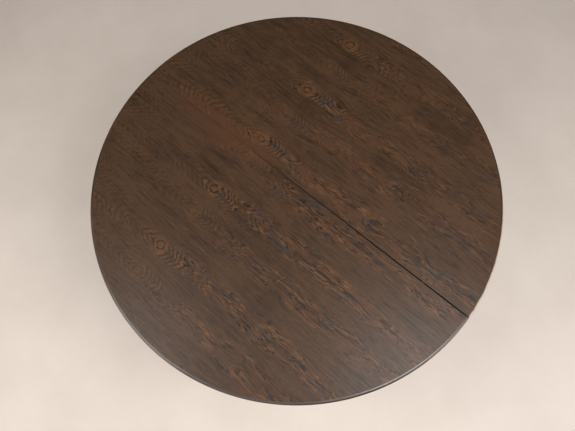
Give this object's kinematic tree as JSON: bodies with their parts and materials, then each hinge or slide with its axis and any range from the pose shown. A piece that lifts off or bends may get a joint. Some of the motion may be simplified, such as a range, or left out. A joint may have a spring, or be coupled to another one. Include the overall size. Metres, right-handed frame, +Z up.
{
  "type": "round extending pedestal table",
  "caption": "Round dining table with a dark book-matched veneer top split in two halves that slide apart on a turned pedestal with a cross foot.",
  "frame": {"origin": "on the floor under the middle of the round top", "axes": "+Z up, X along the joint between the two halves with the wider end of the joint at +X, front half at -Y"},
  "size_m": [1.2, 1.1998, 0.74],
  "materials": {
    "veneer": "dark figured veneer under satin lacquer",
    "dark_wood": "dark stained solid wood, satin lacquer",
    "slide_wood": "planed beech, oiled",
    "core_board": "board core, edges hidden",
    "backing": "plain backing veneer, thin lacquer",
    "steel": "zinc plated",
    "gear_metal": "milled, lightly greased",
    "brass": "turned",
    "black_plastic": "moulded",
    "nylon": "moulded nylon"
  },
  "bodies": {
    "pedestal": {"foot_beam_lower": "dark_wood", "foot_beam_upper": "dark_wood", "foot_glides": "nylon", "glide_screws": "steel", "base_disc": "dark_wood", "column": "dark_wood", "column_cap": "dark_wood", "column_dowels": "slide_wood", "tie_rod": "steel", "tie_rod_washers": "steel", "tie_rod_nuts": "steel", "head_beam": "slide_wood", "bearer_front": "slide_wood", "bearer_back": "slide_wood", "bearer_bolts": "steel", "bearer_nuts": "steel", "runner_left": "slide_wood", "runner_right": "slide_wood", "runner_screws": "steel", "gear_bridge": "slide_wood", "bridge_screws": "steel", "pinion_spindle": "steel", "spindle_nut": "steel"},
    "front_half": {"front_core": "core_board", "front_backing_veneer": "backing", "front_face_veneer": "veneer", "front_edge_band": "dark_wood", "front_joint_lipping": "dark_wood", "front_apron": "dark_wood", "front_apron_blocks": "slide_wood", "front_rail_outer": "slide_wood", "front_rail_inner": "slide_wood", "front_slide_screws": "steel", "front_rack": "gear_metal", "front_rack_block": "slide_wood", "alignment_pins": "brass", "lock_plates": "steel", "lock_pivots": "steel", "lock_plate_screws": "steel"},
    "back_half": {"back_core": "core_board", "back_backing_veneer": "backing", "back_face_veneer": "veneer", "back_edge_band": "dark_wood", "back_joint_lipping": "dark_wood", "back_apron": "dark_wood", "back_apron_blocks": "slide_wood", "back_rail_outer": "slide_wood", "back_rail_inner": "slide_wood", "back_slide_screws": "steel", "back_rack": "gear_metal", "back_rack_block": "slide_wood", "pin_bushes": "brass", "lock_keepers": "steel", "keeper_screws": "steel"},
    "pinion": {"pinion": "gear_metal"},
    "lock_left": {"lock_lever_left": "steel", "lock_knob_left": "black_plastic"},
    "lock_right": {"lock_lever_right": "steel", "lock_knob_right": "black_plastic"}
  },
  "joints": [
    {"name": "front_half_slide", "type": "slide", "parent": "pedestal", "child": "front_half", "axis": [0, -1, 0], "range_m": [0, 0.25]},
    {"name": "back_half_slide", "type": "slide", "parent": "pedestal", "child": "back_half", "axis": [0, 1, 0], "range_m": [0, 0.25]},
    {"name": "pinion_spin", "type": "hinge", "parent": "pedestal", "child": "pinion", "pos_m": [0, 0, 0.695], "axis": [0, 0, -1], "range_deg": [0, 597]},
    {"name": "lock_left_swing", "type": "hinge", "parent": "front_half", "child": "lock_left", "pos_m": [-0.38, -0.05, 0.7086], "axis": [0, 0, 1], "range_deg": [0, 90]},
    {"name": "lock_right_swing", "type": "hinge", "parent": "front_half", "child": "lock_right", "pos_m": [0.38, -0.05, 0.7086], "axis": [0, 0, -1], "range_deg": [0, 90]}
  ],
  "couplings": [
    {"joint": "back_half_slide", "follows": "front_half_slide", "ratio": 1},
    {"joint": "pinion_spin", "follows": "front_half_slide", "rad_per_m": 41.667}
  ]
}
